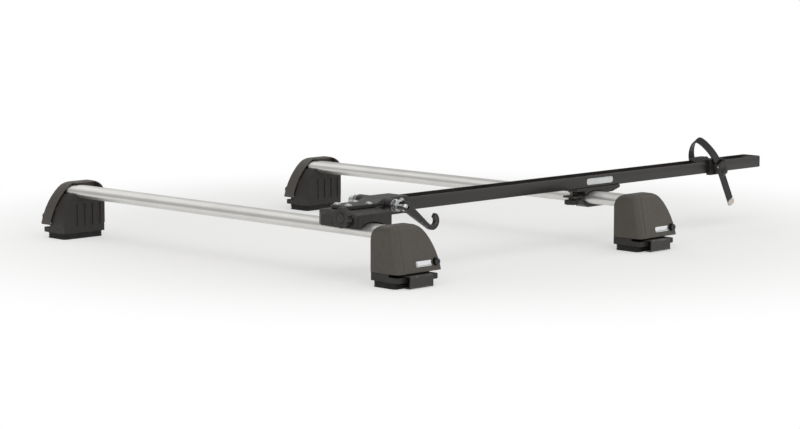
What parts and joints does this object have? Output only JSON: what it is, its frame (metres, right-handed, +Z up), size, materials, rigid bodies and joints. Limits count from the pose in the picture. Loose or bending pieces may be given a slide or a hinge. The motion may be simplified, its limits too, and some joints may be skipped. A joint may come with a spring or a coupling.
{
  "type": "roof mounted bike carrier",
  "caption": "Fork-mount bike carrier: a channel rail with a quick-release fork head and a rear wheel strap, clamped on wing-section roof bars with door-frame clamp feet.",
  "frame": {"origin": "under the middle of the set, at the underside of the roof pads", "axes": "+X to the rear of the roof along the rail, +Y to the right of the car, +Z up"},
  "size_m": [1.31, 1.056, 0.1945],
  "materials": {
    "bar": "satin silver anodised extrusion",
    "strip": "matt black extruded strip",
    "zinc": "bright zinc plated fasteners",
    "rail": "black powder coated extrusion",
    "black_plastic": "fine textured black moulding",
    "grey_plastic": "fine textured dark grey moulding",
    "casting": "black coated casting",
    "steel": "bright plated steel",
    "jaw_steel": "black coated plate",
    "hook_steel": "black coated folded plate",
    "lock": "dark plated lock barrel",
    "rubber": "matt black rubber",
    "strap": "black moulded ratchet strap",
    "tip": "pale moulded end tab"
  },
  "bodies": {
    "rack": {"front_bar": "bar", "rear_bar": "bar", "front_strip": "strip", "rear_strip": "strip", "bar_bolts": "zinc", "front_left_base": "black_plastic", "front_left_pad": "rubber", "front_right_base": "black_plastic", "front_right_pad": "rubber", "rear_left_base": "black_plastic", "rear_left_pad": "rubber", "rear_right_base": "black_plastic", "rear_right_pad": "rubber"},
    "front_left_cover": {"front_left_cover": "grey_plastic"},
    "front_left_lock": {"front_left_lock": "lock"},
    "front_left_hook": {"front_left_hook": "hook_steel"},
    "front_left_clamp_bolt": {"front_left_clamp_bolt": "zinc"},
    "front_right_cover": {"front_right_cover": "grey_plastic"},
    "front_right_lock": {"front_right_lock": "lock"},
    "front_right_hook": {"front_right_hook": "hook_steel"},
    "front_right_clamp_bolt": {"front_right_clamp_bolt": "zinc"},
    "rear_left_cover": {"rear_left_cover": "grey_plastic"},
    "rear_left_lock": {"rear_left_lock": "lock"},
    "rear_left_hook": {"rear_left_hook": "hook_steel"},
    "rear_left_clamp_bolt": {"rear_left_clamp_bolt": "zinc"},
    "rear_right_cover": {"rear_right_cover": "grey_plastic"},
    "rear_right_lock": {"rear_right_lock": "lock"},
    "rear_right_hook": {"rear_right_hook": "hook_steel"},
    "rear_right_clamp_bolt": {"rear_right_clamp_bolt": "zinc"},
    "carrier": {"rail": "rail", "rail_end_cap": "black_plastic", "fork_head": "casting", "dropout_faces": "steel", "head_bolts": "zinc", "front_saddle": "black_plastic", "front_liner": "rubber", "rear_bracket": "black_plastic", "rear_liner": "rubber", "rail_nuts": "zinc", "bracket_bolt": "zinc", "cam_cup": "steel"},
    "front_jaw": {"front_jaw": "casting"},
    "front_knob": {"front_knob": "black_plastic"},
    "rear_jaw": {"rear_jaw": "jaw_steel"},
    "rear_knob": {"rear_knob": "black_plastic"},
    "skewer": {"skewer_rod": "steel", "cam_pin": "steel"},
    "lever": {"cam_lever": "casting"},
    "skewer_nut": {"skewer_nut": "steel"},
    "cradle": {"wheel_cradle": "black_plastic", "wheel_strap": "strap", "strap_tip": "tip", "strap_rivet": "steel", "buckle_body": "black_plastic", "buckle_pin": "steel"},
    "buckle_lever": {"buckle_lever": "black_plastic"}
  },
  "joints": [
    {"name": "front_left_cover_slide", "type": "slide", "parent": "rack", "child": "front_left_cover", "axis": [0, -1, 0], "range_m": [0, 0.07]},
    {"name": "front_left_lock_turn", "type": "hinge", "parent": "front_left_cover", "child": "front_left_lock", "pos_m": [-0.535, -0.51, 0.044], "axis": [0, -1, 0], "range_deg": [0, 90]},
    {"name": "front_left_hook_slide", "type": "slide", "parent": "rack", "child": "front_left_hook", "axis": [0, -1, 0], "range_m": [0, 0.004]},
    {"name": "front_left_bolt_turn", "type": "hinge", "parent": "front_left_hook", "child": "front_left_clamp_bolt", "pos_m": [-0.583, -0.495, 0.05], "axis": [0, -1, 0], "range_deg": [0, 1155]},
    {"name": "front_right_cover_slide", "type": "slide", "parent": "rack", "child": "front_right_cover", "axis": [0, 1, 0], "range_m": [0, 0.07]},
    {"name": "front_right_lock_turn", "type": "hinge", "parent": "front_right_cover", "child": "front_right_lock", "pos_m": [-0.643, 0.51, 0.044], "axis": [0, 1, 0], "range_deg": [0, 90]},
    {"name": "front_right_hook_slide", "type": "slide", "parent": "rack", "child": "front_right_hook", "axis": [0, 1, 0], "range_m": [0, 0.004]},
    {"name": "front_right_bolt_turn", "type": "hinge", "parent": "front_right_hook", "child": "front_right_clamp_bolt", "pos_m": [-0.595, 0.495, 0.05], "axis": [0, 1, 0], "range_deg": [0, 1155]},
    {"name": "rear_left_cover_slide", "type": "slide", "parent": "rack", "child": "rear_left_cover", "axis": [0, -1, 0], "range_m": [0, 0.07]},
    {"name": "rear_left_lock_turn", "type": "hinge", "parent": "rear_left_cover", "child": "rear_left_lock", "pos_m": [0.155, -0.51, 0.044], "axis": [0, -1, 0], "range_deg": [0, 90]},
    {"name": "rear_left_hook_slide", "type": "slide", "parent": "rack", "child": "rear_left_hook", "axis": [0, -1, 0], "range_m": [0, 0.004]},
    {"name": "rear_left_bolt_turn", "type": "hinge", "parent": "rear_left_hook", "child": "rear_left_clamp_bolt", "pos_m": [0.107, -0.495, 0.05], "axis": [0, -1, 0], "range_deg": [0, 1155]},
    {"name": "rear_right_cover_slide", "type": "slide", "parent": "rack", "child": "rear_right_cover", "axis": [0, 1, 0], "range_m": [0, 0.07]},
    {"name": "rear_right_lock_turn", "type": "hinge", "parent": "rear_right_cover", "child": "rear_right_lock", "pos_m": [0.047, 0.51, 0.044], "axis": [0, 1, 0], "range_deg": [0, 90]},
    {"name": "rear_right_hook_slide", "type": "slide", "parent": "rack", "child": "rear_right_hook", "axis": [0, 1, 0], "range_m": [0, 0.004]},
    {"name": "rear_right_bolt_turn", "type": "hinge", "parent": "rear_right_hook", "child": "rear_right_clamp_bolt", "pos_m": [0.095, 0.495, 0.05], "axis": [0, 1, 0], "range_deg": [0, 1155]},
    {"name": "carrier_shift", "type": "slide", "parent": "rack", "child": "carrier", "axis": [0, 1, 0], "range_m": [0, 0.62]},
    {"name": "front_jaw_slide", "type": "slide", "parent": "carrier", "child": "front_jaw", "axis": [1, 0, 0], "range_m": [0, 0.004]},
    {"name": "front_knob_turn", "type": "hinge", "parent": "carrier", "child": "front_knob", "pos_m": [-0.644, -0.3834, 0.123], "axis": [-1, 0, 0], "range_deg": [0, 1155]},
    {"name": "rear_jaw_slide", "type": "slide", "parent": "carrier", "child": "rear_jaw", "axis": [0, 0, -1], "range_m": [0, 0.006]},
    {"name": "rear_knob_turn", "type": "hinge", "parent": "rear_jaw", "child": "rear_knob", "pos_m": [0.0475, -0.34, 0.09], "axis": [0, 0, -1], "range_deg": [0, 1730]},
    {"name": "skewer_slide", "type": "slide", "parent": "carrier", "child": "skewer", "axis": [0, 1, 0], "range_m": [0, 0.002]},
    {"name": "lever_swing", "type": "hinge", "parent": "skewer", "child": "lever", "pos_m": [-0.5132, -0.415, 0.135], "axis": [-0.5592, 0, -0.829], "range_deg": [0, 170]},
    {"name": "skewer_nut_spin", "type": "hinge", "parent": "skewer", "child": "skewer_nut", "pos_m": [-0.5132, -0.283, 0.135], "axis": [0, 1, 0], "continuous": true},
    {"name": "cradle_slide", "type": "slide", "parent": "carrier", "child": "cradle", "axis": [1, 0, 0], "range_m": [-0.28, 0.1]},
    {"name": "buckle_lever_swing", "type": "hinge", "parent": "cradle", "child": "buckle_lever", "pos_m": [0.48912, -0.3828, 0.13753], "axis": [-0.8829, 0, -0.4695], "range_deg": [0, 120]}
  ],
  "couplings": [
    {"joint": "front_left_bolt_turn", "follows": "front_left_hook_slide", "rad_per_m": 5026.5},
    {"joint": "front_right_bolt_turn", "follows": "front_right_hook_slide", "rad_per_m": 5026.5},
    {"joint": "rear_left_bolt_turn", "follows": "rear_left_hook_slide", "rad_per_m": 5026.5},
    {"joint": "rear_right_bolt_turn", "follows": "rear_right_hook_slide", "rad_per_m": 5026.5},
    {"joint": "front_knob_turn", "follows": "front_jaw_slide", "rad_per_m": 5026.5},
    {"joint": "rear_knob_turn", "follows": "rear_jaw_slide", "rad_per_m": 5026.5},
    {"joint": "skewer_slide", "follows": "lever_swing", "m_per_rad": 0.000674}
  ]
}
